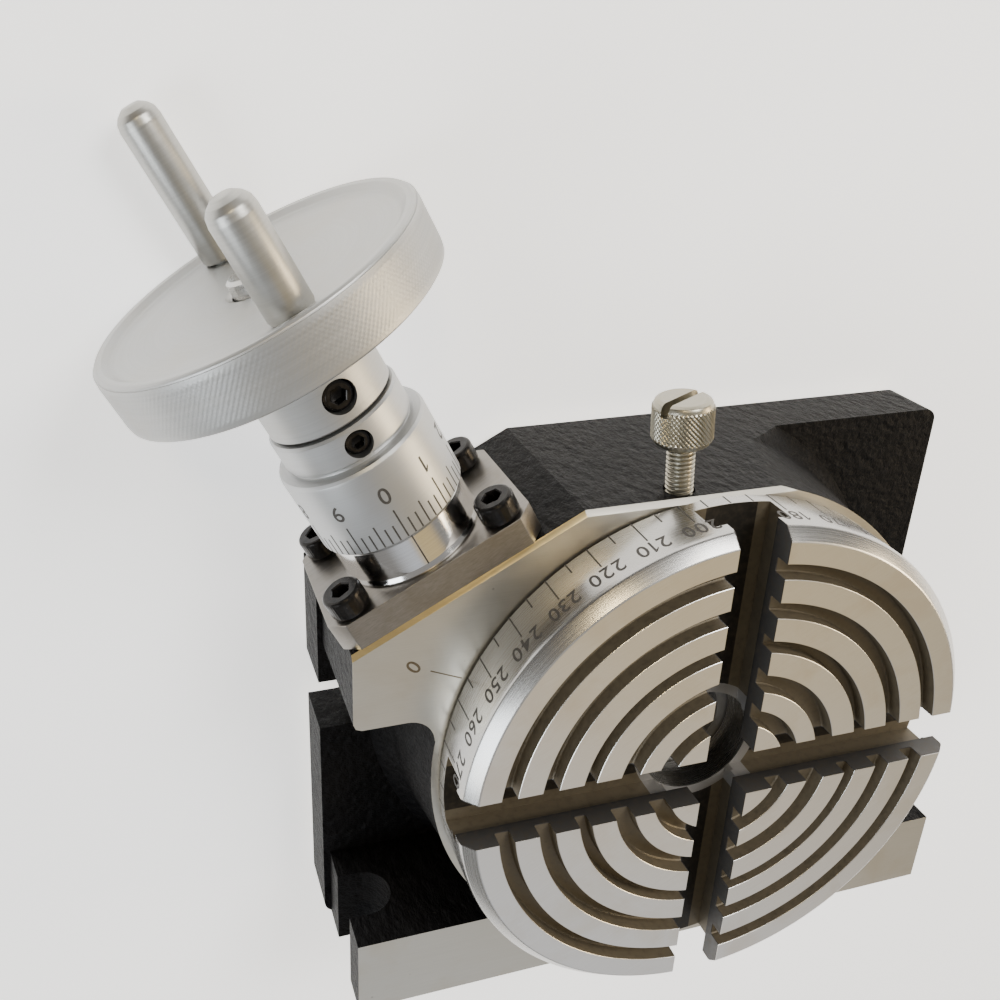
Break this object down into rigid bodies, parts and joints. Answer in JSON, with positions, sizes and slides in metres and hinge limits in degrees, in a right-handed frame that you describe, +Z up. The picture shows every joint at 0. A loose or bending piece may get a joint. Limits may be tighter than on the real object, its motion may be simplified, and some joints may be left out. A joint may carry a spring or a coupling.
{
  "type": "rotary table",
  "caption": "Low worm-driven rotary table with crossed T-slots, ringed face, graduated dial, handwheel and lock screw, on a black base that clamps flat or upright.",
  "frame": {"origin": "on the table's axis, at the underside of the base", "axes": "+Z up along the table's axis; X and Y along the two T-slots at rest; +Y towards the side with the lock screw, -Y towards the upright foot; the worm shaft points out between -X and +Y"},
  "size_m": [0.1675, 0.1669, 0.056],
  "materials": {
    "adjusting_nut": "black oxide",
    "base_casting": "rough black paint on cast iron, machined faces bare",
    "bottom_cover": "milled",
    "centre_sleeve": "turned bright",
    "cover_screw_1": "black oxide",
    "cover_screw_2": "black oxide",
    "cover_screw_3": "black oxide",
    "cover_screw_4": "black oxide",
    "dial": "satin, turned",
    "dial_set_screw": "black oxide",
    "flange_plate": "milled",
    "flange_screw_1": "black oxide",
    "flange_screw_2": "black oxide",
    "flange_screw_3": "black oxide",
    "flange_screw_4": "black oxide",
    "handle_long": "satin, turned",
    "handle_short": "satin, turned",
    "handwheel": "satin, turned",
    "index_sleeve": "polished",
    "lock_pad": "machined brass",
    "lock_screw": "plated, knurled",
    "rear_bush": "machined bronze",
    "rotary_table": "ground and lightly oiled",
    "spindle_nut": "black oxide",
    "thrust_washer": "machined bronze",
    "wheel_key": "turned bright",
    "wheel_set_screw": "black oxide",
    "worm_shaft": "turned bright",
    "worm_thrust_washer": "machined bronze",
    "worm_wheel": "machined bronze"
  },
  "bodies": {
    "base": {"base_casting": "base_casting", "bottom_cover": "bottom_cover", "cover_screw_1": "cover_screw_1", "cover_screw_2": "cover_screw_2", "cover_screw_3": "cover_screw_3", "cover_screw_4": "cover_screw_4", "flange_plate": "flange_plate", "flange_screw_1": "flange_screw_1", "flange_screw_2": "flange_screw_2", "flange_screw_3": "flange_screw_3", "flange_screw_4": "flange_screw_4", "index_sleeve": "index_sleeve", "rear_bush": "rear_bush", "thrust_washer": "thrust_washer"},
    "table": {"rotary_table": "rotary_table", "worm_wheel": "worm_wheel", "wheel_key": "wheel_key", "centre_sleeve": "centre_sleeve", "spindle_nut": "spindle_nut"},
    "worm": {"worm_shaft": "worm_shaft", "worm_thrust_washer": "worm_thrust_washer", "adjusting_nut": "adjusting_nut", "handwheel": "handwheel", "wheel_set_screw": "wheel_set_screw", "handle_short": "handle_short", "handle_long": "handle_long"},
    "dial": {"dial": "dial", "dial_set_screw": "dial_set_screw"},
    "lock_pad": {"lock_pad": "lock_pad"},
    "lock_screw": {"lock_screw": "lock_screw"}
  },
  "joints": [
    {"name": "table_spin", "type": "hinge", "parent": "base", "child": "table", "pos_m": [0, 0, 0.045], "axis": [0, 0, 1], "continuous": true},
    {"name": "worm_spin", "type": "hinge", "parent": "base", "child": "worm", "pos_m": [-0.02245, -0.01209, 0.0237], "axis": [-0.4741, 0.8805, 0], "continuous": true},
    {"name": "dial_set", "type": "hinge", "parent": "worm", "child": "dial", "pos_m": [-0.02245, -0.01209, 0.0237], "axis": [-0.4741, 0.8805, 0], "continuous": true},
    {"name": "lock_pad_slide", "type": "slide", "parent": "base", "child": "lock_pad", "axis": [-0.0767, 0.9971, 0], "range_m": [-0.0003, 0.003]},
    {"name": "lock_turn", "type": "hinge", "parent": "lock_pad", "child": "lock_screw", "pos_m": [-0.00206, 0, 0.0335], "axis": [-0.0767, 0.9971, 0], "range_deg": [-136, 1351]}
  ],
  "couplings": [
    {"joint": "worm_spin", "follows": "table_spin", "ratio": 36},
    {"joint": "lock_turn", "follows": "lock_pad_slide", "rad_per_m": 7854}
  ]
}
